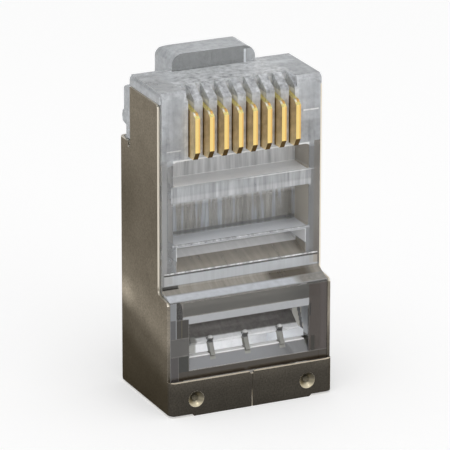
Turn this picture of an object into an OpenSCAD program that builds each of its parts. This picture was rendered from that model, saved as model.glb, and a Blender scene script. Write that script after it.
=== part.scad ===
// Shielded modular plug, 8 positions, 8 contacts, for round cable.
// Millimetres. It stands on its cable end with the nose up (+Z), the contacts
// face -Y and the latch arm hangs behind, on the +Y side.
// A profile is drawn as [depth, height]: depth runs forward from the back of
// the shield, height runs up from the lower edge of the shield's side panels.

/* [Overall size] */
// Width over the shield
plug_w = 11.7; // [11.2:0.05:11.8]
// Depth over the shield's cable-end band
plug_d = 8.1; // [8.0:0.05:8.4]
// Height of the nose above the lower edge of the side panels
nose_top = 21.42; // [21.2:0.02:21.6]

/* [Shield] */
// Sheet thickness
sheet_t = 0.2; // [0.2:0.01:0.28]
// Outer radius of the vertical bends
bend_r = 0.45; // [0.35:0.05:0.5]
// Height of the band that closes round the cable end
band_h = 2.27; // [1.9:0.05:2.4]
// How far the middle of the band hangs below its corners
lip_drop = 0.15; // [0.1:0.01:0.25]
// Half width of that lower middle
lip_half = 4.3; // [3.8:0.1:4.6]
// Gap at the seam where the two flaps of the band meet
seam_gap = 0.06; // [0.03:0.01:0.12]
// Front edge of the side panels beside the nose
panel_upper_front = 6.14; // [6.0:0.01:6.2]
// Front edge of the side panels beside the strain relief
panel_lower_front = 7.64; // [7.5:0.01:7.65]
// Height of the step between those two edges
panel_step = 7.72; // [7.4:0.02:8.0]
// Top of the side panels
panel_top = 20.68; // [20.4:0.02:20.7]
// Top of the back panel, below the latch
back_top = 16.89; // [16.4:0.05:17.0]
// Depth of the notch in each side panel behind the nose
notch_d = 1.82; // [1.6:0.02:2.0]
// Distance of each retaining dimple from the middle
dimple_x = 4.0; // [3.4:0.05:4.2]
// Height of the retaining dimples
dimple_z = 1.0; // [0.9:0.01:1.3]
// Radius of a dimple at the outer face
dimple_r = 0.56; // [0.4:0.02:0.65]

/* [Contacts] */
// Number of contacts
contacts_n = 8; // [8:1:8]
// Spacing of the contacts
contact_pitch = 1.02; // [1.0:0.01:1.03]
// Thickness of a contact blade
blade_t = 0.33; // [0.28:0.01:0.36]
// Depth of the contact edge
blade_front = 7.38; // [7.1:0.01:7.45]
// Lower end of a blade
blade_foot = 16.97; // [16.9:0.01:17.05]
// Upper end of a blade
blade_head = 20.3; // [20.0:0.05:20.4]

/* [Housing] */
// Front plane of the comb and of the frame below it
frame_front = 6.38; // [6.3:0.01:6.45]
// Front plane of the strain relief block
block_front = 7.62; // [7.5:0.01:7.64]
// Half width of the recess in the frame
recess_half = 4.93; // [4.6:0.01:5.0]
// Depth of the recess
recess_d = 1.9; // [1.6:0.05:2.0]
// Diameter of a wire channel
channel_d = 0.88; // [0.8:0.02:0.92]

/* [Latch] */
// Width of the latch arm between its root and its shoulders
latch_w = 5.9; // [5.8:0.05:6.1]
// Width of the release tab below the shoulders
tab_w = 3.25; // [3.1:0.05:3.4]
// Top of the latch root
latch_top = 22.5; // [22.2:0.05:22.6]
// Distance of the free end of the tab behind the shield
latch_reach = 4.35; // [4.0:0.05:4.6]
// Thickness of the arm
latch_t = 0.95; // [0.8:0.05:1.1]

/* [Hidden] */
$fn = 48;
e = 0.01;                                // overshoot of a cut past its face
half_w = plug_w / 2;
fit_gap = 0.02;                          // clearance between the housing and the shield
core_half = half_w - sheet_t - fit_gap;  // half width of the housing inside the shield
back_face = sheet_t + fit_gap;           // back plane of the housing's body
mid_d = (plug_d - latch_reach) / 2;      // depth that lies over the origin
cap_half = half_w - 0.1;                 // half width of the cap over the panels
cap_back = 1.6;                          // back edge of the nose top

// ---------- helpers ----------

// Puts a part drawn in depth and height over the origin, standing on z = 0.
module stand() translate([0, mid_d, lip_drop]) children();

// Extrudes a [depth, height] profile across the plug, centred on x.
module across(w, x = 0)
    translate([x, 0, 0]) rotate([90, 0, -90]) linear_extrude(w, center = true) children();

// Extrudes an [x, depth] plan upward from z0 to z1.
module upward(z0, z1)
    translate([0, 0, z0]) mirror([0, 1, 0]) linear_extrude(z1 - z0) children();

// Extrudes an [x, height] front view from depth d0 forward to depth d1.
module forward(d0, d1)
    translate([0, -d0, 0]) rotate([90, 0, 0]) linear_extrude(d1 - d0) children();

// A cylinder or cone that runs forward from depth d0 to depth d1.
module forward_cone(x, z, d0, d1, r0, r1)
    translate([x, -d0, z]) rotate([90, 0, 0]) cylinder(h = d1 - d0, r1 = r0, r2 = r1);

// Points of an arc about c, from angle a0 to angle a1.
function arc(c, r, a0, a1, n = 6) =
    [for (i = [0 : n]) let (a = a0 + (a1 - a0) * i / n) c + r * [cos(a), sin(a)]];

// Outline of a rectangle with rounded corners, from corner p to corner q.
function round_box(p, q, r, n = 6) = concat(
    arc([q.x - r, q.y - r], r, 0, 90, n), arc([p.x + r, q.y - r], r, 90, 180, n),
    arc([p.x + r, p.y + r], r, 180, 270, n), arc([q.x - r, p.y + r], r, 270, 360, n));

function contact_x(i) = (i - (contacts_n - 1) / 2) * contact_pitch;

// ---------- shield ----------

corner_cut = 0.45;                       // cut across each lower back corner
step_r = 0.3;                            // radius of the step in the side panels
panel_r = 0.3;                           // radius of their upper front corners

// Side view of the folded sheet.
function shield_side() = concat(
    [[0, corner_cut], [corner_cut, 0]],
    [[plug_d + e, 0], [plug_d + e, band_h], [panel_lower_front, band_h]],
    arc([panel_lower_front - step_r, panel_step - step_r], step_r, 0, 78),
    arc([panel_upper_front + step_r, panel_step + step_r + 0.1], step_r, 258, 180),
    arc([panel_upper_front - panel_r, panel_top - panel_r], panel_r, 0, 90),
    [[notch_d, panel_top], [notch_d, back_top - 0.2]],
    arc([notch_d - 0.2, back_top - 0.2], 0.2, 0, -180),
    [[notch_d - 0.4, back_top], [0, back_top]]);

module sheet_walls() {
    difference() {
        polygon(round_box([-half_w, 0], [half_w, plug_d], bend_r));
        polygon(round_box([sheet_t - half_w, sheet_t], [half_w - sheet_t, plug_d - sheet_t], bend_r - sheet_t));
    }
}

// The lower middle of the front flaps and of the back panel, on which it stands.
module standing_lip(d)
    forward(d, d + sheet_t)
        polygon([[-lip_half, 0.2], [lip_half, 0.2], [lip_half, 0],
                 [lip_half - lip_drop, -lip_drop], [lip_drop - lip_half, -lip_drop], [-lip_half, 0]]);

module shield() color([0.62, 0.57, 0.50]) stand() difference() {
    union() {
        intersection() {
            upward(0, panel_top + 1) sheet_walls();
            across(plug_w + 1) polygon(shield_side());
        }
        standing_lip(plug_d - sheet_t);
        difference() {
            standing_lip(0);
            across(plug_w) polygon([[-1, 0.2 + e], [-1, -1], [0, -1], [0, 0.2 + e]]);
        }
        // the sheet goes straight down to the lip between the two cut corners
        forward(0, sheet_t) polygon([[-lip_half, 0], [lip_half, 0],
                                     [lip_half, corner_cut + 0.1], [-lip_half, corner_cut + 0.1]]);
        for (s = [-1, 1])
            forward_cone(s * dimple_x, dimple_z, plug_d - 2 * sheet_t, plug_d - sheet_t + e,
                         dimple_r * 0.6, dimple_r);
    }
    // dimples pressed in from outside
    for (s = [-1, 1])
        forward_cone(s * dimple_x, dimple_z, plug_d - sheet_t - 0.14, plug_d + e,
                     dimple_r * 0.3, dimple_r);
    // seam between the flaps, with a small relief at its top
    translate([-seam_gap / 2, -plug_d - 1, -1]) cube([seam_gap, 1.5, band_h + 2]);
    forward_cone(0, band_h, plug_d - 1, plug_d + 1, 0.16, 0.16);
}

// ---------- contacts ----------

prong_tip = 3.25;
blade_back = 4.85;
prong_z = [17.5, 18.6, 19.7];
prong_half = 0.34;

function blade_side() = concat(
    [[blade_front, blade_foot + 0.53], [blade_front - 0.33, blade_foot], [blade_back, blade_foot]],
    [for (z = prong_z) each [[blade_back - 0.4, z - prong_half], [prong_tip, z],
                             [blade_back - 0.4, z + prong_half]]],
    [[blade_back, blade_head], [blade_front - 1.68, blade_head],
     [blade_front - 0.33, blade_head - 0.22], [blade_front, blade_head - 0.5]]);

module contact(i) color([0.93, 0.72, 0.28])
    stand() across(blade_t, contact_x(i)) polygon(blade_side());

// ---------- housing ----------

recess_floor = 11.07;
recess_top = 16.74;
recess_back = frame_front - recess_d;
bar_low = 13.97;                         // conductor bar across the recess
bar_high = 15.05;
groove_half = 4.6;                       // half width of the groove below the recess
comb_half = contacts_n * contact_pitch / 2 - 0.16;
slot_w = blade_t + 0.1;
channel_depth = 2.6;
cable_half = 4.55;                       // half width of the cable cavity
cable_back = 0.95;
cable_front = 6.85;
wire_front = 3.35;                       // front wall of the space for the wires
window_half = 4.29;
jaw_half = 3.85;                         // half width of the jacket jaw
hole_r = dimple_r + 0.06;

// Side view of the moulded block without its cavities.
function block_side() = [
    [back_face, 0.35], [block_front, 0.35], [block_front, 7.66], [frame_front, 8.2],
    [frame_front, nose_top - 0.3], [frame_front - 0.12, nose_top], [back_face + 0.6, nose_top],
    [back_face + 0.6, 17.23], [back_face, 16.6]];

// The rail that fills the notches behind the side panels, with a tooth along its back.
rail_front = notch_d - 0.05;
function rail_side() = concat(
    [[rail_front, 17.05], [1.01, 17.05], [1.01, 17.85], [0.44, 18.0], [0.37, 18.35], [0.44, 18.72], [0.66, 18.85]],
    arc([0.96, 20.2], 0.3, 180, 90, 4), [[rail_front, 20.5]]);

// Plan of the moulded block, with its back edges bevelled to clear the shield's bends.
module core_plan() polygon([
    [-core_half, block_front + 1], [-core_half, back_face + 0.2], [-core_half + 0.2, back_face],
    [-core_half + 0.4, back_face - 0.5], [core_half - 0.4, back_face - 0.5],
    [core_half - 0.2, back_face], [core_half, back_face + 0.2], [core_half, block_front + 1]]);

module nose_and_block() {
    intersection() {
        upward(0, nose_top + 1) core_plan();
        difference() {
            across(plug_w) polygon(block_side());
            // the nose top starts further forward than the rail behind it
            translate([-half_w, -cap_back, 20.5]) cube([plug_w, cap_back + 1, 2]);
        }
    }
    across(2 * cap_half) polygon(rail_side());
    // cap that rests on the top edges of the side panels
    forward(cap_back, frame_front - 0.12)
        polygon(concat([[-cap_half, panel_top], [cap_half, panel_top]],
                       arc([cap_half - 0.35, nose_top - 0.35], 0.35, 0, 90),
                       arc([0.35 - cap_half, nose_top - 0.35], 0.35, 90, 180)));
}

// Side view of the latch: an upright root, then an arm that bows away from the shield.
tab_end = latch_top - 14.6;
shoulder_z = latch_top - 8.9;
root_back = -0.68;
root_front = 2.11;
bow_start = latch_top - 1.7;
function arm_back(t) = root_back - (latch_reach + root_back) * pow(t, 1.15);
function arm_z(t) = bow_start + (tab_end - bow_start) * t;
function arm_side() = concat(
    [[root_front, latch_top], [-0.15, latch_top], [-0.53, latch_top - 0.2], [root_back, latch_top - 0.55]],
    [for (t = [0 : 0.125 : 1]) [arm_back(t), arm_z(t)]],
    [for (t = [1 : -0.125 : 0.25]) [arm_back(t) + latch_t * (1.1 - 0.3 * t), arm_z(t)]],
    [[-0.05, 18.1], [0.35, 17.9], [root_front, 17.9]]);

module latch() intersection() {
    across(latch_w) polygon(arm_side());
    forward(-latch_reach - 1, 3)
        polygon(concat(
            [[tab_w / 2, tab_end - 1], [tab_w / 2, shoulder_z - 0.9]],
            arc([tab_w / 2 + 0.4, shoulder_z - 0.9], 0.4, 180, 90, 4),
            [[latch_w / 2, shoulder_z - 0.5]],
            arc([latch_w / 2 - 0.75, latch_top - 0.75], 0.75, 0, 90),
            arc([0.75 - latch_w / 2, latch_top - 0.75], 0.75, 90, 180),
            [[-latch_w / 2, shoulder_z - 0.5]],
            arc([-tab_w / 2 - 0.4, shoulder_z - 0.9], 0.4, 90, 0, 4),
            [[-tab_w / 2, tab_end - 1]]));
}

// Recess in the frame: its side walls lean out, and its corners are round.
module recess() intersection() {
    upward(recess_floor, recess_top)
        polygon([[-recess_half + 0.2, recess_back], [recess_half - 0.2, recess_back],
                 [recess_half, frame_front + 1], [-recess_half, frame_front + 1]]);
    forward(recess_back, frame_front + 1)
        polygon(round_box([-recess_half, recess_floor], [recess_half, recess_top], 0.35, 4));
}

// Groove below the recess, cut to an edge.
module groove() across(2 * groove_half)
    polygon([[frame_front + 0.1, 10.95], [4.05, 9.98], [frame_front + 0.1, 9.22]]);

// A slot for a blade, open at the front and over the top of the nose.
module slot(i) across(slot_w, contact_x(i))
    polygon([[blade_back - 0.55, blade_foot], [frame_front + 1, blade_foot], [frame_front + 1, nose_top + 1],
             [5, nose_top + 1], [5, 20.9], [blade_back - 0.05, 20.45], [blade_back - 0.55, 20.3]]);

// Fins of the comb fall away towards the front.
module comb_bevel() across(2 * comb_half)
    polygon([[5.15, nose_top + e], [frame_front + e, 20.7], [frame_front + 1, 20.7], [frame_front + 1, nose_top + 1]]);

module wire_channel(i) translate([contact_x(i), -channel_depth, 13]) {
    cylinder(h = 7.3, d = channel_d);
    translate([0, 0, 1]) cylinder(h = 0.7, d1 = channel_d + 0.12, d2 = channel_d);
}

// A shallow groove in the front wall of the cavity guides each wire up to its channel.
guide_d = 0.64;
module wire_guide(i) translate([contact_x(i), -wire_front, 9.7])
    cylinder(h = 3.7, d = guide_d);

// The blades' prongs reach the wires through a narrow slit.
module prong_slit(i) across(blade_t + 0.06, contact_x(i))
    polygon([[channel_depth, blade_foot], [blade_back, blade_foot], [blade_back, 20.3], [channel_depth, 20.3]]);

// Space for the jacket at the cable end, narrowing to the space for the wires.
module cable_cavity() {
    across(2 * cable_half)
        polygon([[cable_back, -1], [cable_front + 0.25, -1], [cable_front + 0.25, 0.6], [cable_front, 1.3],
                 [cable_front, 6.9], [wire_front, 9.0], [wire_front, 13.3], [wire_front - 0.2, 14.1],
                 [cable_back + 0.65, 14.1],
                 [cable_back, 12]]);
}

// Window in front of the jacket jaw, with a lip that leans back from its lower edge.
lip_top = 3.68;
lip_edge = block_front - 0.32;
module window() across(2 * window_half)
    polygon([[block_front + 1, 0.5], [block_front, 2.84], [lip_edge, lip_top], [cable_front - 1, lip_top],
             [5.45, 5.78], [block_front, 6.05], [block_front + 1, 6.2]]);

// Jaw that presses on the jacket: a wedge on a thin hinge, tied to the lip by three webs.
web_x = 2.5;
web_w = 0.3;
jaw_edge = [6.97, 4.45];                 // lower front edge of the jaw
module jaw() {
    across(2 * jaw_half)
        polygon([jaw_edge, [5.75, 5.28], [5.45, 5.35], [5.45, 5.9], [5.2, 5.9], [5.2, 4.1], [6.75, 4.2]]);
    for (x = [-web_x, 0, web_x]) {
        across(web_w, x) polygon([jaw_edge + [-0.3, -0.1], jaw_edge + [0.02, 0.12], [lip_edge + 0.14, lip_top - 0.1],
                                  [lip_edge, lip_top - 0.35], [lip_edge - 0.25, lip_top - 0.2]]);
        translate([x, -jaw_edge.x, jaw_edge.y + 0.15]) sphere(d = 0.42);
    }
}

module housing() color([0.80, 0.83, 0.86, 0.45]) stand() {
    difference() {
        union() {
            nose_and_block();
            latch();
        }
        difference() {
            recess();
            across(2 * recess_half + 1) polygon(
                [[recess_back - 1, bar_low], [frame_front, bar_low], [frame_front, bar_high],
                 [recess_back - 1, bar_high]]);
        }
        groove();
        comb_bevel();
        cable_cavity();
        window();
        for (i = [0 : contacts_n - 1]) {
            slot(i);
            prong_slit(i);
            wire_channel(i);
            wire_guide(i);
        }
        for (s = [-1, 1])
            forward_cone(s * dimple_x, dimple_z, block_front - 0.45, block_front + 1, hole_r, hole_r);
    }
    jaw();
}

housing();
shield();
contact(0);  // contact_1
contact(1);  // contact_2
contact(2);  // contact_3
contact(3);  // contact_4
contact(4);  // contact_5
contact(5);  // contact_6
contact(6);  // contact_7
contact(7);  // contact_8
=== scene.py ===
"""Studio scene of a shielded modular plug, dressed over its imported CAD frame.

Lengths are metres in the row frame: contacts face -Y, the latch is on +Y and the nose points up.
Zones and finishes count in millimetres instead, from the places that PlugPlace names.
"""

import logging
import math
from dataclasses import dataclass
from enum import Enum

import bpy
from mathutils import Matrix, Vector


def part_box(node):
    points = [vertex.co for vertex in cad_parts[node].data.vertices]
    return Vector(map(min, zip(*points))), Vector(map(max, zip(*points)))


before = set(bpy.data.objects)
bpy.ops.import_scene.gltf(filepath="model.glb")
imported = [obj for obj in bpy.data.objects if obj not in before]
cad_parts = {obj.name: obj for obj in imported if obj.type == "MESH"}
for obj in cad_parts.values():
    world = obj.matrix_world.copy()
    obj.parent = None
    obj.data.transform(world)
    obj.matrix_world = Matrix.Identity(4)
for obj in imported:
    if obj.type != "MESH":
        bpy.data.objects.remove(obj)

LOG = logging.getLogger("plug")
MM = 0.001
# height of the side panels' lower edge over the level on which the plug stands, in millimetres
LIP_DROP = 0.15
# how softly a zone ends where it says nothing else, in millimetres
EDGE = 0.04

# numbers of the sockets that share a name with others on their node
MIX_FACTOR, MIX_NUMBER_A, MIX_NUMBER_B = 0, 2, 3
MIX_COLOUR_A, MIX_COLOUR_B, MIX_COLOUR_RESULT = 6, 7, 2
RAMP_VECTOR, RAMP_LOW, RAMP_HIGH, RAMP_RESULT = 6, 7, 8, 1

Colour = tuple[float, float, float]
Span = tuple[float, float]
SoftSpan = tuple[float, float, float]
Source = bpy.types.NodeSocket | float | Colour | Vector

WHITE = (1.0, 1.0, 1.0)
COOL_WHITE = (0.86, 0.89, 0.93)
BLACK = (0.0, 0.0, 0.0)


@dataclass
class ShaderGraph:
    """The node tree of one material, with short calls for its nodes."""

    tree: bpy.types.NodeTree

    @classmethod
    def for_material(cls, name: str) -> tuple[bpy.types.Material, "ShaderGraph"]:
        """Makes an empty node material.

        Args:
            name: the material's name.

        Returns:
            The material and the graph that fills it.
        """
        material = bpy.data.materials.new(name)
        material.use_nodes = True
        material.node_tree.nodes.clear()
        return material, cls(material.node_tree)

    def add(
        self, kind: str, inputs: dict[str | int, Source] | None = None, **settings: object
    ) -> bpy.types.Node:
        """Adds a node.

        Args:
            kind: the node type's name without its "ShaderNode" start.
            inputs: what goes into its sockets, a socket to link or a plain value.
            settings: the node's own properties.

        Returns:
            The new node.
        """
        node = self.tree.nodes.new("ShaderNode" + kind)
        for key, value in settings.items():
            setattr(node, key, value)
        for key, value in (inputs or {}).items():
            if isinstance(value, bpy.types.NodeSocket):
                self.tree.links.new(value, node.inputs[key])
            elif isinstance(value, tuple) and len(value) == 3 and node.inputs[key].type == "RGBA":
                node.inputs[key].default_value = (*value, 1.0)
            else:
                node.inputs[key].default_value = value
        return node

    def maths(self, operation: str, a: Source, b: Source = 0.0, c: Source = 0.0) -> bpy.types.NodeSocket:
        """Returns the result of a Math node on a, b and c."""
        return self.add("Math", {0: a, 1: b, 2: c}, operation=operation).outputs[0]

    def product(self, first: Source, *others: Source) -> Source:
        """Returns the product of its numbers, taken from left to right."""
        for other in others:
            first = self.maths("MULTIPLY", first, other)
        return first

    def add_scaled(self, value: Source, scale: Source, base: Source) -> bpy.types.NodeSocket:
        """Returns value times scale, added to base."""
        return self.maths("MULTIPLY_ADD", value, scale, base)

    def step(self, value: Source, low: float, high: float) -> bpy.types.NodeSocket:
        """Returns a smooth step that is 0 at low and 1 at high, which may lie below low."""
        ramp = self.add("MapRange", {0: value, 1: low, 2: high}, interpolation_type="SMOOTHSTEP")
        return ramp.outputs[0]

    def step_each(self, vector: Source, low: Vector, high: Vector) -> bpy.types.NodeSocket:
        """Makes a smooth step for each part of a vector.

        Args:
            vector: the vector.
            low: where each part's step is 0.
            high: where each part's step is 1.

        Returns:
            The steps, as a vector.
        """
        inputs = {RAMP_VECTOR: vector, RAMP_LOW: low, RAMP_HIGH: high}
        ramp = self.add("MapRange", inputs, data_type="FLOAT_VECTOR", interpolation_type="SMOOTHSTEP")
        return ramp.outputs[RAMP_RESULT]

    def blend(self, a: Source, b: Source, factor: Source) -> bpy.types.NodeSocket:
        """Returns the number a blended into b by factor."""
        return self.add("Mix", {MIX_FACTOR: factor, MIX_NUMBER_A: a, MIX_NUMBER_B: b}).outputs[0]

    def tint(self, a: Source, b: Source, factor: Source, **settings: object) -> bpy.types.NodeSocket:
        """Returns the colour a blended into b by factor."""
        inputs = {MIX_FACTOR: factor, MIX_COLOUR_A: a, MIX_COLOUR_B: b}
        return self.add("Mix", inputs, data_type="RGBA", **settings).outputs[MIX_COLOUR_RESULT]

    def curve(self, value: Source, points: tuple[Span, ...]) -> bpy.types.NodeSocket:
        """Makes a smooth curve that is level at its ends.

        Args:
            value: where on the curve to read it.
            points: its points, each a value and the level there, in rising order of values.

        Returns:
            The level at the value.
        """
        level: Source = points[0][1]
        for (low, _), (high, end) in zip(points, points[1:]):
            level = self.blend(level, end, self.step(value, low, high))
        return level

    def bump(self, height: Source, strength: float, distance: float) -> bpy.types.NodeSocket:
        """Returns the normals of a surface with small bumps, whose distance is in metres."""
        return self.add("Bump", {"Strength": strength, "Distance": distance, "Height": height}).outputs[0]

    def finish(self, shader: bpy.types.Node) -> None:
        """Joins a shader to the output."""
        self.add("OutputMaterial", {"Surface": shader.outputs[0]})


@dataclass(frozen=True)
class Grain:
    """A noise pattern: turns per metre, detail, roughness, and how it is scaled along each axis."""

    turns: float
    detail: float
    rough: float
    scale: tuple[float, float, float] | None = None


class Hand(Enum):
    """Which half of the plug a zone lies in, seen from the contacts."""

    BOTH = 0
    LEFT = -1
    RIGHT = 1


@dataclass(frozen=True)
class Zone:
    """A part of the moulding whose haze and tint paint light, shade and reflections onto the clear plastic
    as they show from one view.

    Sides count from the middle, depths from the shield's back and heights from its side panels' lower
    edge, in millimetres. A zone that names no haze or tint keeps the one that it lies in. It ends within
    soft along the height and within fade across the plug, and its streaks may have a tint of their own.
    """

    side: Span
    depth: Span
    height: Span
    haze: float | None = None
    tint: Colour | None = None
    streaks: float = 0.0
    clouds: float = 0.0
    hand: Hand = Hand.BOTH
    soft: float = EDGE
    fade: float = EDGE
    streak_tint: Colour | None = None

    def meets(self, low: Vector, high: Vector, near: float = 0.2) -> bool:
        """Tells whether a box that counts like the zone, from low to high, comes near it."""
        spans = enumerate((self.side, self.depth, self.height))
        return all(span[0] - near < high[i] and span[1] + near > low[i] for i, span in spans)


@dataclass
class PlugPlace:
    """Where a shaded point lies on the plug, in millimetres, as sockets of one graph.

    across counts from the middle to the right and side from the middle to both sides, depth counts from
    the shield's back to the front, and height from its side panels' lower edge.
    """

    graph: ShaderGraph

    def __post_init__(self) -> None:
        """Reads the object coordinates once."""
        graph = self.graph
        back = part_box("shield")[1].y / MM
        self.coords = graph.add("TexCoord").outputs["Object"]
        x, y, z = graph.add("SeparateXYZ", {0: self.coords}).outputs
        self.across = graph.product(x, 1 / MM)
        self.side = graph.maths("ABSOLUTE", self.across)
        self.depth = graph.maths("SUBTRACT", back, graph.product(y, 1 / MM))
        self.height = graph.maths("SUBTRACT", graph.product(z, 1 / MM), LIP_DROP)
        mirrored = graph.product(self.across, -1.0)
        self.spots = {
            hand: graph.add("CombineXYZ", {0: side, 1: self.depth, 2: self.height}).outputs[0]
            for hand, side in ((Hand.BOTH, self.side), (Hand.RIGHT, self.across), (Hand.LEFT, mirrored))
        }

    def within(self, value: Source, low: float, high: float, soft: float) -> Source:
        """Makes a mask from a range of one value.

        Args:
            value: the value, such as a depth or a height.
            low: where the range starts.
            high: where it ends.
            soft: how far each end reaches to both sides.

        Returns:
            1 inside the range and 0 outside it.
        """
        rise = self.graph.step(value, low - soft, low + soft)
        fall = self.graph.step(value, high + soft, high - soft)
        return self.graph.product(rise, fall)

    def box(self, zone: Zone) -> Source:
        """Makes the mask of a zone.

        Args:
            zone: the zone.

        Returns:
            1 inside the zone and 0 outside it.
        """
        low, high = (Vector(corner) for corner in zip(zone.side, zone.depth, zone.height))
        soft = Vector((zone.fade, EDGE, zone.soft))
        spot = self.spots[zone.hand]
        rise = self.graph.step_each(spot, low - soft, low + soft)
        fall = self.graph.step_each(spot, high + soft, high - soft)
        inside = self.graph.add("VectorMath", {0: rise, 1: fall}, operation="MULTIPLY").outputs[0]
        return self.graph.product(*self.graph.add("SeparateXYZ", {0: inside}).outputs)

    def pattern(self, grain: Grain) -> bpy.types.NodeSocket:
        """Makes a noise pattern that is fixed to the plug.

        Args:
            grain: the pattern.

        Returns:
            Its level, from 0 to 1 and mostly near 0.5.
        """
        vector = self.coords
        if grain.scale is not None:
            scale = {"Vector": vector, "Scale": Vector(grain.scale)}
            vector = self.graph.add("Mapping", scale).outputs[0]
        inputs = {"Vector": vector, "Scale": grain.turns, "Detail": grain.detail, "Roughness": grain.rough}
        return self.graph.add("TexNoise", inputs).outputs[0]


@dataclass(frozen=True)
class JawWeb:
    """One web under the jaw: a painted highlight at its head, painted shade below it and grey at its foot.
    """

    side: Span

    def zones(self) -> tuple[Zone, ...]:
        """Returns the web's zones, from the foot of its front up."""
        return (
            Zone(self.side, (6.5, 7.45), (3.3, 4.32), haze=0.7, tint=(0.30, 0.30, 0.27)),
            Zone(self.side, (6.75, 7.45), (4.32, 4.64), haze=0.8, tint=(0.05, 0.05, 0.05)),
            Zone(self.side, (6.72, 7.45), (4.66, 4.9), haze=0.95, tint=(0.8, 0.8, 0.8)),
        )


@dataclass(frozen=True)
class SlantedShadeStripe:
    """Painted shade: a dark stripe that slants across the window's right wall, made of short zones that
    step down to the front.
    """

    side: Span = (4.42, 4.7)
    depth: float = 5.27
    height: float = 5.19
    steps: int = 8
    forward: float = 0.12
    down: float = 0.295
    length: float = 0.42
    tallness: float = 0.33
    haze: float = 1.0
    tint: Colour = (0.01, 0.01, 0.008)

    def zone(self, depth: float, height: float) -> Zone:
        """Returns the step that starts at a depth and a height."""
        reach = (depth, depth + self.length), (height, height + self.tallness)
        return Zone(self.side, *reach, haze=self.haze, tint=self.tint, hand=Hand.RIGHT)

    def zones(self) -> tuple[Zone, ...]:
        """Returns the steps, from the highest down."""
        steps = range(self.steps)
        return tuple(self.zone(self.depth + self.forward * i, self.height - self.down * i) for i in steps)


# painted light and shade: these zones paint the highlights, shade and reflections that the clear plastic
# shows from one view
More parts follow.
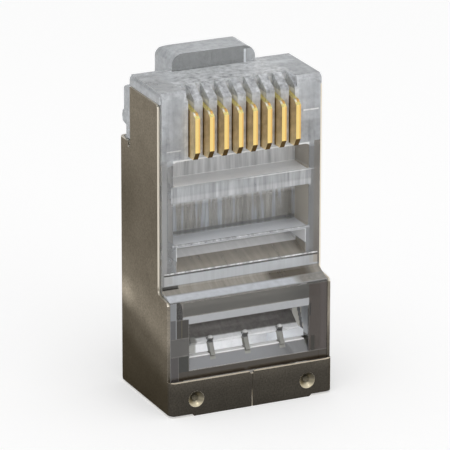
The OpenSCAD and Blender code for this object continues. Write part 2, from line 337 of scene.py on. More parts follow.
MOULDING_ZONES = (
    # the comb between the blades and its bevelled top, with two thin painted highlights across the
    # shoulders' fronts
    Zone((-1, 4.05), (4.2, 6.5), (16.8, 21.6), haze=0.62, tint=(0.84, 0.86, 0.89), clouds=0.5),
    Zone((-1, 4.05), (4.2, 6.26), (16.9, 21.2), haze=0.85, tint=(0.97, 0.97, 0.98)),
    Zone((-1, 4.1), (5.0, 6.5), (20.55, 21.6), haze=0.50, tint=(0.82, 0.84, 0.87), clouds=0.7),
    Zone((-1, 6), (5.9, 6.5), (21.0, 21.6), haze=0.45, tint=(0.74, 0.76, 0.79), clouds=0.8),
    Zone((4.2, 6), (6.3, 6.5), (16.9, 20.9), tint=(0.71, 0.73, 0.76), streaks=0.7),
    Zone((-1, 3.6), (1.6, 5.2), (21.2, 21.6), haze=0.62, tint=(0.79, 0.81, 0.83), clouds=1.2, fade=0.5),
    Zone((4.2, 6), (2.2, 5.6), (21.2, 21.6), haze=0.42, tint=(0.70, 0.72, 0.74), hand=Hand.LEFT, fade=0.4),
    Zone((4.4, 5.5), (6.3, 6.5), (19.0, 19.09), haze=0.95, tint=WHITE, hand=Hand.RIGHT, soft=0.02),
    Zone((4.3, 5.3), (6.3, 6.5), (17.44, 17.52), haze=0.75, tint=(0.9, 0.9, 0.9), hand=Hand.LEFT,
         soft=0.02),
    # front of the latch root, with a painted highlight at the edge of the hollow behind it
    Zone((-1, 3.0), (2.0, 2.2), (17.9, 22.6), haze=0.55, tint=(0.27, 0.28, 0.28)),
    Zone((2.14, 2.3), (2.0, 2.2), (20.4, 22.3), haze=0.80, tint=COOL_WHITE, hand=Hand.RIGHT),
    Zone((2.34, 3.0), (2.0, 2.2), (20.4, 22.3), haze=0.55, tint=(0.62, 0.64, 0.66), hand=Hand.RIGHT),
    # columns beside the recess
    Zone((4.9, 6.0), (6.3, 6.5), (8.5, 16.5), haze=0.20, tint=(0.74, 0.74, 0.74)),
    Zone((5.2, 6.0), (6.3, 6.5), (8.5, 16.9), haze=0.20, tint=(0.66, 0.60, 0.53), hand=Hand.RIGHT),
    Zone((5.28, 6.0), (6.3, 6.5), (8.4, 16.9), haze=0.36, tint=(0.76, 0.76, 0.76), hand=Hand.LEFT),
    # painted highlight along the top edge of the recess
    Zone((-1, 4.85), (6.2, 6.5), (16.66, 16.84), haze=0.95, tint=WHITE),
    # wall under the slots
    Zone((-1, 4.85), (4.3, 4.6), (15.06, 16.74), haze=0.65, tint=WHITE, streaks=1.1),
    # conductor bar, top and front, painted light, with a thin painted highlight along the top of its front
    # on the right
    Zone((-1, 5.0), (4.4, 6.36), (14.95, 15.1), haze=1.0, tint=WHITE, clouds=0.3),
    Zone((-1, 5.0), (6.3, 6.5), (14.4, 15.0), haze=0.50, tint=(0.84, 0.86, 0.88), streaks=1.1, soft=0.15),
    Zone((-1, 5.0), (6.3, 6.5), (13.9, 14.4), haze=0.62, tint=(0.84, 0.85, 0.87), streaks=1.1, soft=0.15),
    Zone((0.2, 4.9), (6.25, 6.5), (14.95, 15.02), haze=0.8, tint=WHITE, hand=Hand.RIGHT, soft=0.02,
         fade=0.9),
    # back wall of the recess and its floor: the wall painted lighter at its top, a strip of painted shade
    # where it meets the floor, and a thin painted highlight along the floor's front edge
    Zone((-1, 4.85), (4.3, 4.6), (11.08, 13.2), haze=0.30, tint=(0.86, 0.82, 0.74), streaks=0.9,
         streak_tint=(0.84, 0.88, 0.93)),
    Zone((-1, 4.85), (4.3, 4.6), (13.2, 14.0), haze=0.90, tint=WHITE, streaks=0.9, soft=0.3),
    Zone((-1, 4.75), (4.3, 4.6), (11.12, 11.36), haze=0.55, tint=(0.33, 0.33, 0.32)),
    Zone((-1, 4.9), (4.5, 6.36), (10.98, 11.12), haze=0.8, tint=(0.92, 0.95, 1.0)),
    Zone((-1, 4.9), (6.2, 6.5), (10.99, 11.10), haze=0.55, tint=(0.90, 0.92, 0.95), streaks=1.6, soft=0.02),
    # side walls of the recess
    Zone((4.7, 5.0), (4.5, 6.3), (15.2, 16.7), haze=0.45, tint=(0.84, 0.76, 0.65)),
    Zone((4.7, 5.0), (4.5, 6.3), (11.1, 15.2), haze=0.52, tint=(0.92, 0.85, 0.74)),
    # groove: painted light, bright on the upper slope and not on the lower one
    Zone((-1, 4.65), (3.9, 6.4), (9.25, 9.95), haze=0.34, tint=(0.84, 0.77, 0.66), streaks=0.25),
    Zone((-1, 4.65), (3.8, 4.95), (9.4, 10.0), haze=0.85, tint=WHITE, soft=0.1),
    Zone((-1, 4.65), (3.9, 6.4), (9.99, 10.95), haze=0.90, tint=(0.97, 0.98, 1.0)),
    # bands under the groove and the step down to the block: a thin painted highlight over a thin dark line,
    # patches of painted shade at the sides, and a pale band of painted reflection
    Zone((-1, 5.5), (6.2, 6.55), (9.15, 9.24), haze=0.70, tint=WHITE, streaks=2.5, soft=0.015),
    Zone((-1, 5.5), (6.3, 6.55), (9.05, 9.13), haze=0.5, tint=(0.10, 0.09, 0.07), soft=0.02),
    Zone((-1, 5.5), (6.3, 6.55), (8.38, 9.02), haze=0.66, streaks=0.25, soft=0.02),
    Zone((-1, 6), (6.3, 7.0), (7.96, 8.36), haze=0.36, tint=(0.90, 0.84, 0.74), streaks=0.4),
    Zone((1.6, 4.9), (6.3, 7.0), (7.96, 8.36), haze=0.55, tint=(0.20, 0.17, 0.13), hand=Hand.RIGHT,
         fade=0.6),
    Zone((4.5, 6), (6.3, 6.5), (8.1, 8.36), haze=0.6, tint=(0.05, 0.045, 0.035), hand=Hand.LEFT),
    Zone((-1, 6), (6.65, 7.65), (7.68, 7.94), haze=0.85, tint=(0.70, 0.73, 0.78), clouds=0.5),
    Zone((3.6, 6), (6.3, 7.65), (7.68, 7.96), haze=0.40, tint=(0.66, 0.63, 0.58), hand=Hand.RIGHT,
         fade=0.5),
    # top of the block's front, with painted shade that darkens it to the right
    Zone((-1, 4.75), (7.5, 7.65), (6.60, 7.55), haze=0.65, tint=(0.15, 0.145, 0.130), fade=0.08),
    Zone((3.3, 5.0), (7.5, 7.65), (6.60, 7.55), haze=0.70, tint=(0.065, 0.062, 0.055), hand=Hand.RIGHT,
         fade=1.6),
    # window: ceiling, jaw and its webs, lip and the strip below it, with painted light on the ceiling, the
    # jaw's lower front and the lip's top, a painted reflection of the ceiling on the front face above it, a
    # painted reflection of dark metal on the jaw's face and painted shade on the lip to the right
    Zone((-1, 4.28), (5.3, 7.6), (5.74, 6.1), haze=1.0, tint=WHITE),
    Zone((-1, 4.5), (7.5, 7.65), (6.06, 6.57), haze=0.90, tint=(0.55, 0.565, 0.59), clouds=0.2, soft=0.02),
    Zone((4.3, 4.75), (7.5, 7.65), (6.42, 6.57), haze=0.90, tint=(0.55, 0.565, 0.59), hand=Hand.LEFT,
         soft=0.02),
    Zone((-1, 3.9), (5.1, 7.1), (4.62, 5.72), haze=0.70, tint=(0.235, 0.225, 0.220), clouds=0.9,
         streaks=0.5),
    Zone((-1, 3.9), (6.5, 7.1), (4.2, 4.63), haze=0.95, tint=(0.92, 0.93, 0.95), clouds=0.6),
    Zone((3.45, 3.95), (6.3, 7.1), (4.2, 4.7), haze=0.9, tint=(0.36, 0.36, 0.34), hand=Hand.LEFT, fade=0.1),
    Zone((-1, 4.28), (6.5, 7.35), (3.60, 3.75), haze=0.95, tint=WHITE),
    Zone((-1, 4.28), (7.25, 7.65), (2.86, 3.60), haze=0.60, tint=(0.23, 0.24, 0.26)),
    Zone((2.2, 6), (7.25, 7.65), (2.86, 3.60), haze=0.60, tint=(0.13, 0.132, 0.138), hand=Hand.RIGHT,
         fade=2.0),
    *JawWeb((-1, 0.2)).zones(),
    *JawWeb((2.3, 2.7)).zones(),
    # right wall of the window, with painted shade in a dark stripe that slants across it
    Zone((4.1, 4.5), (6.8, 7.5), (3.95, 6.1), haze=0.85, tint=(0.42, 0.44, 0.46), hand=Hand.RIGHT),
    Zone((4.1, 4.5), (6.8, 7.5), (3.3, 3.93), haze=0.85, tint=(0.08, 0.08, 0.07), hand=Hand.RIGHT),
    Zone((4.42, 4.7), (4.6, 6.6), (3.9, 5.9), haze=0.9, tint=(0.56, 0.54, 0.48), hand=Hand.RIGHT),
    Zone((4.42, 4.7), (6.0, 6.9), (4.3, 6.0), haze=0.85, tint=(0.42, 0.44, 0.46), hand=Hand.RIGHT),
    *SlantedShadeStripe().zones(),
    # painted shade on the strip under the lip
    Zone((-1, 5.05), (7.5, 7.65), (2.2, 2.83), haze=1.0, tint=(0.030, 0.019, 0.007)),
    # left column of the block, painted in light and shade: pale painted highlights along its edges, painted
    # shade above and below a grey band
    Zone((4.32, 5.7), (7.5, 7.65), (3.93, 5.12), haze=0.90, tint=(0.100, 0.096, 0.090), hand=Hand.LEFT),
    Zone((4.32, 5.2), (7.5, 7.65), (5.14, 6.40), haze=1.0, tint=(0.018, 0.014, 0.008), hand=Hand.LEFT),
    Zone((5.2, 5.7), (7.5, 7.65), (5.14, 6.45), haze=0.85, tint=(0.12, 0.12, 0.125), hand=Hand.LEFT),
    Zone((5.2, 5.7), (7.5, 7.65), (6.45, 7.62), haze=0.85, tint=(0.32, 0.335, 0.355), hand=Hand.LEFT),
    Zone((4.32, 5.06), (7.5, 7.65), (2.80, 3.90), haze=1.0, tint=(0.006, 0.008, 0.004), hand=Hand.LEFT),
    Zone((5.06, 5.7), (7.5, 7.65), (2.2, 3.90), haze=0.9, tint=(0.060, 0.052, 0.052), hand=Hand.LEFT),
    Zone((5.60, 5.68), (7.5, 7.65), (2.2, 7.6), haze=0.9, tint=(0.30, 0.30, 0.31), hand=Hand.LEFT,
         fade=0.02),
    Zone((5.19, 5.24), (7.5, 7.65), (5.14, 7.6), haze=0.9, tint=(0.38, 0.39, 0.41), hand=Hand.LEFT,
         fade=0.02),
    Zone((4.79, 4.84), (7.5, 7.65), (5.14, 6.4), haze=0.9, tint=(0.12, 0.10, 0.06), hand=Hand.LEFT,
         fade=0.02),
    # right column of the block: warm, with a lighter stripe and two stripes of painted shade
    Zone((4.32, 5.7), (7.5, 7.65), (2.85, 7.5), haze=0.65, tint=(0.080, 0.056, 0.042), hand=Hand.RIGHT),
    Zone((5.15, 5.55), (7.5, 7.65), (2.85, 7.5), haze=0.65, tint=(0.120, 0.094, 0.084), hand=Hand.RIGHT,
         fade=0.12),
    Zone((4.45, 4.75), (7.5, 7.65), (2.85, 3.92), haze=1.0, tint=(0.016, 0.012, 0.004), hand=Hand.RIGHT),
    Zone((4.32, 4.48), (7.5, 7.65), (5.3, 6.2), haze=1.0, tint=(0.016, 0.014, 0.010), hand=Hand.RIGHT),
    Zone((5.0, 5.7), (7.5, 7.65), (2.2, 2.83), haze=1.0, tint=(0.030, 0.019, 0.007), hand=Hand.RIGHT),
    # cable cavity: its back wall painted pale to catch the cable-end lamp, with painted shade above it and
    # on its left side
    Zone((-1, 6), (0.85, 1.05), (1.1, 3.6), haze=0.95, tint=(0.82, 0.83, 0.85), clouds=0.4),
    Zone((0.8, 6), (0.85, 1.05), (1.1, 3.6), haze=0.95, tint=(0.34, 0.34, 0.32), hand=Hand.LEFT, fade=0.08),
    Zone((-1, 6), (0.85, 1.05), (3.7, 8.0), haze=0.9, tint=(0.10, 0.09, 0.075)),
    Zone((4.45, 4.65), (0.9, 6.6), (1.1, 3.9), haze=0.95, tint=COOL_WHITE),
)


@dataclass(frozen=True)
class ClearPlastic:
    """Moulded polycarbonate, clear with a grey cast, darkened at the block by a tint of painted shade, and
    hazy at the nose.
    """

    name: str
    zones: tuple[Zone, ...]
    clear_tint: Colour = (0.80, 0.83, 0.86)
    # painted shade: the darker tint of the block
    block_shade_tint: Colour = (0.56, 0.53, 0.49)
    ior: float = 1.585
    block_edge: Span = (7.72, 7.6)
    nose_edge: Span = (16.4, 16.9)
    frame_haze: float = 0.26
    nose_haze: float = 0.46
    block_haze: float = 0.05
    frame_roughness: float = 0.06
    nose_roughening: float = 0.10
    block_roughness: float = 0.02
    streaks: Grain = Grain(2600.0, 3.0, 0.65, (1, 0.1, 0.07))
    streak_middle: float = 0.5
    streak_edge: Span = (-0.02, 0.10)
    clouds: Grain = Grain(2400.0, 5.0, 0.65)
    cloud_middle: float = 0.47
    nose_clouds: float = 0.6
    bump_strength: float = 0.3
    bump_distance: float = 0.00001

    def build(self) -> bpy.types.Material:
        """Makes the material, with its haze as the share that isn't clear.

        Returns:
            The material.
        """
        material, graph = ShaderGraph.for_material(self.name)
        place = PlugPlace(graph)
        block = graph.step(place.height, *self.block_edge)
        nose = graph.step(place.height, *self.nose_edge)
        streaks = graph.maths("SUBTRACT", place.pattern(self.streaks), self.streak_middle)
        clouds = graph.maths("SUBTRACT", place.pattern(self.clouds), self.cloud_middle)
        haze: Source = graph.blend(self.frame_haze, self.nose_haze, nose)
        haze = graph.blend(haze, self.block_haze, block)
        tint: Source = graph.tint(self.clear_tint, self.block_shade_tint, block)
        mottle = graph.product(nose, self.nose_clouds, clouds)
        # each zone paints its light, shade or reflection into the haze and tint
        for zone in self.zones:
            mask = place.box(zone)
            if zone.haze is not None:
                haze = graph.blend(haze, zone.haze, mask)
            if zone.tint is not None:
                tint = graph.tint(tint, self._zone_tint(graph, zone, streaks), mask)
            if zone.streaks:
                mottle = graph.add_scaled(graph.product(mask, zone.streaks), streaks, mottle)
            if zone.clouds:
                mottle = graph.add_scaled(graph.product(mask, zone.clouds), clouds, mottle)
        hazy = graph.maths("ADD", haze, mottle)
        clear = graph.add("Math", {0: 1.0, 1: hazy}, operation="SUBTRACT", use_clamp=True)
        rough = graph.add_scaled(nose, self.nose_roughening, self.frame_roughness)
        shader = graph.add("BsdfPrincipled", {
            "Base Color": tint,
            "Roughness": graph.blend(rough, self.block_roughness, block),
            "IOR": self.ior,
            "Transmission Weight": clear.outputs[0],
            "Normal": graph.bump(streaks, self.bump_strength, self.bump_distance),
        })
        graph.finish(shader)
        return material

    def _zone_tint(self, graph: ShaderGraph, zone: Zone, streaks: Source) -> Source:
        """Returns a zone's tint, which its streaks change where they have their own."""
        if zone.streak_tint is None:
            return zone.tint
        return graph.tint(zone.tint, zone.streak_tint, graph.step(streaks, *self.streak_edge))


class HousingPart(Enum):
    """The parts of the moulding, each with a material of its own."""

    BLOCK = 0
    FRAME = 1


@dataclass
class Housing:
    """The clear moulding: the block at the cable end and the frame above it."""

    node: str = "housing"
    block_top: float = 7.95
    zones: tuple[Zone, ...] = MOULDING_ZONES

    def dress(self) -> str:
        """Gives the block and the frame their materials, each with the zones that its faces meet.

        Returns:
            What was dressed, for the log.
        """
        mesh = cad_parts[self.node].data
        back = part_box("shield")[1].y
        faces: dict[HousingPart, list[bpy.types.MeshPolygon]] = {part: [] for part in HousingPart}
        for polygon in mesh.polygons:
            height = polygon.center.z / MM - LIP_DROP
            faces[HousingPart.BLOCK if height < self.block_top else HousingPart.FRAME].append(polygon)
        mesh.materials.clear()
        report = []
        for part, polygons in faces.items():
            name = part.name.lower()
            boxes = [self.face_box(mesh, polygon, back) for polygon in polygons]
            zones = tuple(zone for zone in self.zones if any(zone.meets(*box) for box in boxes))
            mesh.materials.append(ClearPlastic(f"clear_polycarbonate_{name}", zones).build())
            for polygon in polygons:
                polygon.material_index = part.value
            report.append(f"{name} with {len(polygons)} faces and {len(zones)} zones")
        return ", ".join(report)

    @staticmethod
    def face_box(
        mesh: bpy.types.Mesh, polygon: bpy.types.MeshPolygon, back: float
    ) -> tuple[Vector, Vector]:
        """Finds the box round a face.

        Args:
            mesh: the mesh that the face is in.
            polygon: the face.
            back: where the shield's back face lies along Y, in metres.

        Returns:
            The box's low and high corner, counted as the zones are.
        """
        corners = [mesh.vertices[i].co for i in polygon.vertices]
        across = [corner.x / MM for corner in corners]
        depths = [(back - corner.y) / MM for corner in corners]
        heights = [corner.z / MM - LIP_DROP for corner in corners]
        near = 0.0 if min(across) <= 0.0 <= max(across) else min(abs(x) for x in across)
        far = max(abs(x) for x in across)
        return Vector((near, min(depths), min(heights))), Vector((far, max(depths), max(heights)))


class NickelFace(Enum):
    """The kinds of surface on the folded sheet, which are its material slots."""

    OUTSIDE = 0
    CUT = 1
    INSIDE = 2
    RIM = 3
    DIMPLE = 4


@dataclass(frozen=True)
class SatinNickel:
    """Nickel-plated sheet with a fine grain, of one colour that a kind of face may vary in level."""

    face: NickelFace
    colour: Colour
    roughness: float
    edge: Colour = WHITE
    metallic: float = 1.0
    grain: Grain = Grain(9000.0, 3.0, 0.6)
    bump_strength: float = 0.3
    bump_distance: float = 0.00002

    def level(self, place: PlugPlace, grain: Source) -> Source | None:
        """Returns how light the colour is at each point, or None where it is the same all over."""
        return None

    def build(self) -> bpy.types.Material:
        """Makes the material.

        Returns:
            The material.
        """
        material, graph = ShaderGraph.for_material(f"satin_nickel_{self.face.name.lower()}")
        place = PlugPlace(graph)
        grain = place.pattern(self.grain)
        level = self.level(place, grain)
        colour: Source = self.colour
        if level is not None:
            colour = graph.tint(BLACK, self.colour, level, clamp_factor=False)
        shader = graph.add("BsdfPrincipled", {
            "Base Color": colour,
            "Metallic": self.metallic,
            "Specular Tint": self.edge,
            "Roughness": self.roughness,
            "Normal": graph.bump(grain, self.bump_strength, self.bump_distance),
        })
        graph.finish(shader)
        return material


@dataclass(frozen=True)
class OutsideNickel(SatinNickel):
    """The outer faces, painted in light and shade: darker towards the cable end, with a painted highlight
    near the back above it and a patch of painted shade higher up.
    """

    face: NickelFace = NickelFace.OUTSIDE
    colour: Colour = (0.235, 0.210, 0.172)
    roughness: float = 0.36
    edge: Colour = (0.55, 0.51, 0.45)
    lean: float = 0.22
    # painted light and shade: the level along the height, which leans with the depth
    levels: tuple[Span, ...] = (
        (0.0, 0.20), (3.0, 0.26), (5.2, 0.58), (7.0, 1.18), (9.5, 0.85), (14.0, 0.72), (20.0, 1.03),
    )
    patch_depth: SoftSpan = (-1.0, 2.0, 1.3)
    # painted highlight near the back
    painted_highlight_height: SoftSpan = (5.9, 6.9, 0.9)
    painted_highlight_gain: float = 1.35
    # painted shade near the back
    painted_shade_height: SoftSpan = (9.5, 14.0, 1.5)
    painted_shade_gain: float = -0.16
    clouds: Grain = Grain(420.0, 3.0, 0.6)
    cloud_share: Span = (0.5, 0.75)
    grain_share: Span = (1.3, 0.35)

    def level(self, place: PlugPlace, grain: Source) -> Source:
        """Finds how light the outer faces are.

        Args:
            place: where the point lies.
            grain: the level of the fine grain.

        Returns:
            The level of the colour.
        """
        graph = place.graph
        # painted light and shade along the height, then a painted highlight and painted shade near the back
        level = graph.curve(graph.add_scaled(place.depth, self.lean, place.height), self.levels)
        patch = place.within(place.depth, *self.patch_depth)
        painted_highlight = graph.product(patch, place.within(place.height, *self.painted_highlight_height))
        painted_shade = graph.product(patch, place.within(place.height, *self.painted_shade_height))
        level = graph.add_scaled(painted_highlight, self.painted_highlight_gain, level)
        level = graph.add_scaled(painted_shade, self.painted_shade_gain, level)
        mottle = graph.add_scaled(place.pattern(self.clouds), *self.cloud_share)
        return graph.product(level, mottle, graph.add_scaled(grain, *self.grain_share))


@dataclass(frozen=True)
class CutNickel(SatinNickel):
    """The cut edges, bright at the outer rims, with painted shade on their inner part and at the far
    corner, and darker at the seam.
    """

    face: NickelFace = NickelFace.CUT
    colour: Colour = (0.80, 0.74, 0.63)
    roughness: float = 0.30
    outer_side: Span = (5.70, 5.76)
    outer_depth: Span = (7.86, 7.92)
    outer_height: Span = (20.7, 20.8)
    # painted shade on the cut edges' inner part, darker below about 8 mm, and at the far corner
    inner_height: Span = (7.4, 8.2)
    inner_levels: Span = (0.35, 0.72)
    far_across: Span = (5.5, 5.6)
    far_height: Span = (7.6, 7.4)
    far_level: float = 0.40
    seam_side: Span = (0.3, 0.25)
    seam_height: Span = (0.9, 1.05)
    seam_level: float = 0.35

    def level(self, place: PlugPlace, grain: Source) -> Source:
        """Finds how light the cut edges are.

        Args:
            place: where the point lies.
            grain: the level of the fine grain, which these edges don't use.

        Returns:
            The level of the colour.
        """
        graph = place.graph
        sides = graph.step(place.side, *self.outer_side)
        outer = graph.maths("MAXIMUM", sides, graph.step(place.depth, *self.outer_depth))
        outer = graph.maths("MAXIMUM", outer, graph.step(place.height, *self.outer_height))
        inner = graph.blend(*self.inner_levels, graph.step(place.height, *self.inner_height))
        far = graph.step(place.across, *self.far_across)
        far = graph.product(far, graph.step(place.height, *self.far_height))
        seam = graph.step(place.side, *self.seam_side)
        seam = graph.product(seam, graph.step(place.height, *self.seam_height))
        level = graph.blend(inner, 1.0, outer)
        level = graph.product(level, graph.blend(1.0, self.far_level, far))
        return graph.product(level, graph.blend(1.0, self.seam_level, seam))


@dataclass(frozen=True)
class InsideNickel(SatinNickel):
    """The inner faces, with painted shade down in the cable cavity."""

    face: NickelFace = NickelFace.INSIDE
    colour: Colour = (0.85, 0.83, 0.79)
    roughness: float = 0.20
    # painted shade in the cable cavity
    cavity_height: Span = (7.4, 6.0)
    cavity_level: float = 0.30

    def level(self, place: PlugPlace, grain: Source) -> Source:
        """Returns how light the inner faces are."""
        cavity = place.graph.step(place.height, *self.cavity_height)
        return place.graph.blend(1.0, self.cavity_level, cavity)


@dataclass(frozen=True)
class DimpleNickel(SatinNickel):
    """The dimples, with painted shade on their upper wall and a painted highlight on the lower one, round a
    brown floor.
    """

    face: NickelFace = NickelFace.DIMPLE
    colour: Colour = (0.90, 0.80, 0.58)
    roughness: float = 0.30
    side: float = 4.0
    height: float = 1.0
    # painted shade on the upper wall and a painted highlight on the lower one
    levels: tuple[Span, ...] = ((-0.5, 0.05), (-0.15, 0.14), (0.15, 0.34), (0.42, 0.95))
    floor_radius: Span = (0.20, 0.32)
    floor_level: float = 0.45

    def level(self, place: PlugPlace, grain: Source) -> Source:
        """Finds how light the dimples are.

        Args:
            place: where the point lies.
            grain: the level of the fine grain, which the dimples don't use.

        Returns:
            The level of the colour.
        """
        graph = place.graph
        across = graph.maths("SUBTRACT", place.side, self.side)
        drop = graph.maths("SUBTRACT", self.height, place.height)
        radius = graph.maths("SQRT", graph.add_scaled(drop, drop, graph.product(across, across)))
        wall = graph.step(radius, *self.floor_radius)
        return graph.product(graph.curve(drop, self.levels), graph.blend(self.floor_level, 1.0, wall))


@dataclass(frozen=True)
class GoldPlate:
    """Gold flash over the contact blades, with painted shade that turns their flanks olive down in the
    slots and painted highlights on their tops.

    Turns are parts of the surface's normal, and the places across a blade are in pitches.
    """

    name: str = "gold_plate"
    # bright is the plating's own colour; the others are painted: amber is painted shade on each front's
    # right edge, glint and cream are painted highlights, under is painted shade on faces that turn down,
    # pale and olive are painted light and shade along the flanks, and shade is painted shade at their top
    bright: Colour = (0.92, 0.68, 0.25)
    pale: Colour = (1.0, 0.80, 0.46)
    olive: Colour = (0.74, 0.53, 0.24)
    under: Colour = (0.09, 0.05, 0.01)
    amber: Colour = (0.82, 0.50, 0.16)
    glint: Colour = (1.0, 0.86, 0.34)
    cream: Colour = (1.0, 0.97, 0.80)
    shade: Colour = (0.34, 0.21, 0.11)
    roughness: float = 0.24
    pitch: float = 1.02
    middle: float = 0.5
    # any whole number that keeps the count of pitches above 0
    pitch_offset: float = 10.0
    flank_turn: Span = (0.5, 0.8)
    slope_turn: Span = (0.15, 0.3)
    under_turn: Span = (-0.2, -0.4)
    right_edge: Span = (0.03, 0.10)
    left_half: Span = (0.50, 0.44)
    bend_depth: Span = (6.84, 6.90)
    glint_height: SoftSpan = (19.8, 19.95, 0.05)
    pale_depth: Span = (6.65, 7.15)
    shade_height: Span = (17.2, 19.6)
    shade_share: float = 0.22
    dents: Grain = Grain(2600.0, 3.0, 0.6, (1, 1, 0.5))
    dent_spread: float = 0.5
    bump_strength: float = 0.5
    bump_distance: float = 0.00006

    def build(self) -> bpy.types.Material:
        """Makes the material.

        Returns:
            The material.
        """
        material, graph = ShaderGraph.for_material(self.name)
        place = PlugPlace(graph)
        normal = graph.add("SeparateXYZ", {0: graph.add("NewGeometry").outputs["Normal"]}).outputs
        dents = place.pattern(self.dents)
        slope = graph.step(normal[2], *self.slope_turn)
        flank = graph.step(graph.maths("ABSOLUTE", normal[0]), *self.flank_turn)
        colour = graph.tint(self._front(place, slope), self._flanks(place, dents), flank)
        # painted shade on faces that turn down
        colour = graph.tint(colour, self.under, graph.step(normal[2], *self.under_turn))
        shader = graph.add("BsdfPrincipled", {
            "Base Color": colour,
            "Metallic": 1.0,
            "Roughness": self.roughness,
            "Normal": graph.bump(dents, self.bump_strength, self.bump_distance),
        })
        graph.finish(shader)
        return material

    def _front(self, place: PlugPlace, slope: Source) -> Source:
        """Makes the colour of the blades' front edges, with painted shade on their right edge and painted
        highlights on their sloped tops.

        Args:
            place: where the point lies.
            slope: 1 where the front edge slopes to face up.

        Returns:
            The colour.
        """
        graph = place.graph
        turn = graph.maths("FRACT", graph.add_scaled(place.across, 1 / self.pitch, self.pitch_offset))
        right = graph.step(graph.maths("SUBTRACT", turn, self.middle), *self.right_edge)
        left = graph.step(turn, *self.left_half)
        bend = graph.product(slope, graph.step(place.depth, *self.bend_depth))
        front = graph.tint(self.bright, self.amber, right)
        front = graph.tint(front, self.glint, slope)
        front = graph.tint(front, graph.tint(self.amber, self.cream, left), bend)
        return graph.tint(front, self.glint, place.within(place.height, *self.glint_height))

    def _flanks(self, place: PlugPlace, dents: Source) -> Source:
        """Makes the colour of the blades' flanks, painted olive at the back and pale at the front as
        painted shade and light, and shaded at the top.

        Args:
            place: where the point lies.
            dents: the level of the small dents.

        Returns:
            The colour.
        """
        graph = place.graph
        rise = graph.step(graph.add_scaled(dents, self.dent_spread, place.depth), *self.pale_depth)
        shade = graph.product(graph.step(place.height, *self.shade_height), self.shade_share)
        return graph.tint(graph.tint(self.olive, self.pale, rise), self.shade, shade)


@dataclass
class Contacts:
    """The row of gold blades in the slots."""

    count: int = 8
    finish: GoldPlate = GoldPlate()

    def dress(self) -> str:
        """Gives every blade the same plating.

        Returns:
            What was dressed, for the log.
        """
        material = self.finish.build()
        for number in range(1, self.count + 1):
            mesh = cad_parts[f"contact_{number}"].data
            mesh.materials.clear()
            mesh.materials.append(material)
        return f"{self.count} blades"


@dataclass(frozen=True)
class SoftEdges:
    """A small rounding of a sheet's sharp edges, in millimetres and degrees."""

    width: float = 0.04
    weld: float = 0.001
    segments: int = 2
    sharpest_flat: float = 35.0
    face: NickelFace = NickelFace.CUT

    def add_to(self, piece: bpy.types.Object) -> None:
        """Rounds the edges of a piece.

        Args:
            piece: the mesh object.
        """
        weld = piece.modifiers.new("weld", "WELD")
        weld.merge_threshold = self.weld * MM
        bevel = piece.modifiers.new("soft_edges", "BEVEL")
        bevel.width = self.width * MM
        bevel.segments = self.segments
        bevel.limit_method = "ANGLE"
        bevel.angle_limit = math.radians(self.sharpest_flat)
        bevel.material = self.face.value
        bevel.harden_normals = False


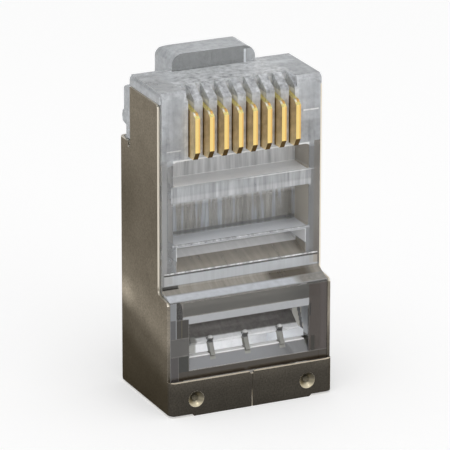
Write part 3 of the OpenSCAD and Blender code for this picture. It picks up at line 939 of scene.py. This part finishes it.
@dataclass
class Shield:
    """The folded sheet round the housing.

    Sizes are in millimetres, and the turns are the parts of a face's normal that set its kind.
    """

    node: str = "shield"
    sheet: float = 0.2
    width: float = 11.7
    depth: float = 8.1
    edges: SoftEdges = SoftEdges()
    # a dimple's centre, how far its faces reach from there, and the depth that they lie in front of
    dimple_side: float = 4.0
    dimple_height: float = 1.0
    dimple_reach: float = 0.62
    dimple_depth: float = 7.0
    # share of the sheet that a face in a dimple may lie behind the front and still belong to it
    dimple_share: float = 0.99
    # the folded corners, how far off a panel or the band its faces may lie, and the top of the band
    corner: float = 0.5
    panel_slack: float = 0.02
    band_slack: float = 0.05
    band_top: float = 3.0
    seam_reach: float = 0.2
    flat_turn: float = 0.9
    steep_turn: float = 0.7
    cut_turn: float = 0.3
    outward_turn: float = 0.2
    level_turn: float = 0.1
    # the kinds of face are copies of one nickel at painted levels: the outside darkened as a painted
    # reflection of dark surroundings, the inside lighter as painted light, and the rim a pale non-metal as
    # a painted highlight along the band's top edge
    finishes: tuple[SatinNickel, ...] = (
        OutsideNickel(),
        CutNickel(),
        InsideNickel(),
        SatinNickel(NickelFace.RIM, (0.86, 0.76, 0.60), 0.55, metallic=0.0),
        DimpleNickel(),
    )

    def face_kind(self, centre: Vector, normal: Vector, back: float) -> NickelFace:
        """Tells which kind of surface a face of the sheet is.

        Args:
            centre: the face's centre, in metres.
            normal: the face's normal.
            back: where the sheet's back face lies along Y, in metres.

        Returns:
            The kind.
        """
        x = abs(centre.x) / MM
        depth = (back - centre.y) / MM
        height = centre.z / MM - LIP_DROP
        inward = -math.copysign(1.0, centre.x) * normal.x
        away = math.hypot(x - self.dimple_side, height - self.dimple_height)
        if away < self.dimple_reach and depth > self.dimple_depth:
            inner = depth < self.depth - self.sheet * self.dimple_share and normal.y > -self.outward_turn
            return NickelFace.INSIDE if inner else NickelFace.DIMPLE
        panel = x > self.width / 2 - self.sheet - self.panel_slack
        if panel and self.corner < depth < self.depth - self.corner:
            if abs(normal.x) <= self.flat_turn:
                return NickelFace.CUT
            return NickelFace.INSIDE if inward > 0 else NickelFace.OUTSIDE
        band = depth > self.depth - self.sheet - self.band_slack and height < self.band_top
        if band and normal.z > self.steep_turn:
            return NickelFace.RIM
        if abs(normal.z) > self.cut_turn:
            return NickelFace.CUT
        rear = depth < self.depth / 2
        if not rear and x < self.seam_reach and abs(normal.x) > self.steep_turn:
            return NickelFace.CUT
        outward = normal.y if rear else -normal.y
        outer = outward > -self.level_turn and (outward > self.outward_turn or inward <= 0)
        return NickelFace.OUTSIDE if outer else NickelFace.INSIDE

    def dress(self) -> str:
        """Gives each kind of face its own finish and rounds the sharp edges a little.

        Returns:
            What was dressed, for the log.
        """
        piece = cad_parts[self.node]
        mesh = piece.data
        mesh.materials.clear()
        for finish in self.finishes:
            mesh.materials.append(finish.build())
        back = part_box(self.node)[1].y
        for polygon in mesh.polygons:
            polygon.material_index = self.face_kind(polygon.center, polygon.normal, back).value
        self.edges.add_to(piece)
        return f"{len(mesh.polygons)} faces, {len(self.finishes)} finishes"


def add_object(name: str, data: bpy.types.ID) -> bpy.types.Object:
    """Makes an object and puts it in the scene.

    Args:
        name: its name.
        data: its mesh, lamp or camera data.

    Returns:
        The object.
    """
    thing = bpy.data.objects.new(name, data)
    bpy.context.scene.collection.objects.link(thing)
    return thing


@dataclass(frozen=True)
class SquareLamp:
    """A square area lamp that faces the plug, with its size in metres and its power in watts."""

    name: str
    place: Vector
    size: float
    power: float

    def build(self, target: Vector) -> None:
        """Makes the lamp.

        Args:
            target: the point that it faces.
        """
        data = bpy.data.lights.new(self.name, "AREA")
        data.size = self.size
        data.energy = self.power
        aim = (target - self.place).to_track_quat("-Z", "Y").to_matrix().to_4x4()
        add_object(self.name, data).matrix_world = Matrix.Translation(self.place) @ aim


@dataclass(frozen=True)
class CavityLamp:
    """The small lamp that lights the cable cavity through its open end."""

    name: str = "cable_end_lamp"
    place: Vector = Vector((0.0, -0.0022, 0.0001))
    width: float = 8 * MM
    depth: float = 4.5 * MM
    power: float = 0.00034

    def build(self) -> None:
        """Makes the lamp, which faces up and isn't seen in the metal or through the plastic."""
        data = bpy.data.lights.new(self.name, "AREA")
        data.shape = "RECTANGLE"
        data.size = self.width
        data.size_y = self.depth
        data.energy = self.power
        lamp = add_object(self.name, data)
        lamp.visible_transmission = False
        lamp.visible_glossy = False
        lamp.location = self.place
        lamp.rotation_euler = (math.pi, 0.0, 0.0)


@dataclass
class Studio:
    """Floor, lamps and camera. Angles are in degrees, and the lens is in millimetres."""

    azimuth: float = 25.02
    elevation: float = 19.21
    roll: float = 0.11
    distance: float = 0.28087
    lens: float = 343.2
    nearest: float = 0.01
    farthest: float = 50.0
    target: Vector = Vector((0.000247, -0.0014525, 0.0109755))
    floor_half: float = 3.0
    floor_grey: float = 0.78
    floor_lift: float = 0.36
    room_grey: float = 0.62
    clear_bounces: int = 24
    glossy_bounces: int = 8
    diffuse_bounces: int = 4
    lamps: tuple[SquareLamp, ...] = (
        SquareLamp("top_lamp", Vector((-0.05, -0.10, 0.40)), 0.30, 0.35),
        SquareLamp("front_lamp", Vector((0.12, -0.42, 0.16)), 0.25, 0.20),
    )
    cavity_lamp: CavityLamp = CavityLamp()

    def camera(self) -> None:
        """Makes the scene's camera from its angles, its distance and the point that it looks at."""
        data = bpy.data.cameras.new("camera")
        data.lens = self.lens
        data.clip_start = self.nearest
        data.clip_end = self.farthest
        camera = add_object("camera", data)
        turn = math.radians(self.azimuth)
        rise = math.radians(self.elevation)
        level = math.cos(rise)
        back = Vector((-math.sin(turn) * level, -math.cos(turn) * level, math.sin(rise)))
        aim = (-back).to_track_quat("-Z", "Y").to_matrix().to_4x4()
        tilt = Matrix.Rotation(math.radians(self.roll), 4, "Z")
        camera.matrix_world = Matrix.Translation(self.target + back * self.distance) @ aim @ tilt
        bpy.context.scene.camera = camera

    def floor(self) -> None:
        """Makes the pale floor, lifted where it is seen straight, reflected or through the plastic."""
        mesh = bpy.data.meshes.new("floor")
        half = self.floor_half
        corners = [(-half, -half, 0), (half, -half, 0), (half, half, 0), (-half, half, 0)]
        mesh.from_pydata(corners, [], [(0, 1, 2, 3)])
        material, graph = ShaderGraph.for_material("floor")
        path = graph.add("LightPath").outputs
        seen = graph.maths("MAXIMUM", path["Is Glossy Ray"], path["Is Transmission Ray"])
        seen = graph.maths("MAXIMUM", seen, path["Is Camera Ray"])
        diffuse = graph.add("BsdfDiffuse", {"Color": (self.floor_grey,) * 3})
        lift = graph.add("Emission", {"Color": WHITE, "Strength": graph.product(seen, self.floor_lift)})
        graph.finish(graph.add("AddShader", {0: diffuse.outputs[0], 1: lift.outputs[0]}))
        mesh.materials.append(material)
        add_object("floor", mesh)

    def world(self) -> None:
        """Gives the room an even light."""
        world = bpy.data.worlds.new("studio")
        world.use_nodes = True
        background = world.node_tree.nodes["Background"]
        background.inputs["Color"].default_value = (self.room_grey,) * 3 + (1.0,)
        background.inputs["Strength"].default_value = 1.0
        bpy.context.scene.world = world

    def build(self) -> str:
        """Makes the whole studio.

        Returns:
            What was made, for the log.
        """
        self.camera()
        self.floor()
        self.world()
        self.cavity_lamp.build()
        for lamp in self.lamps:
            lamp.build(self.target)
        bpy.context.scene.view_settings.view_transform = "Standard"
        cycles = bpy.context.scene.cycles
        cycles.max_bounces = self.clear_bounces
        cycles.transmission_bounces = self.clear_bounces
        cycles.glossy_bounces = self.glossy_bounces
        cycles.diffuse_bounces = self.diffuse_bounces
        return f"floor, camera and {len(bpy.data.lights)} lamps"


def main() -> None:
    logging.basicConfig(level=logging.INFO, format="%(message)s")
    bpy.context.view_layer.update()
    LOG.info("studio: %s", Studio().build())
    LOG.info("housing: %s", Housing().dress())
    LOG.info("shield: %s", Shield().dress())
    LOG.info("contacts: %s", Contacts().dress())


if __name__ == "__main__":
    main()
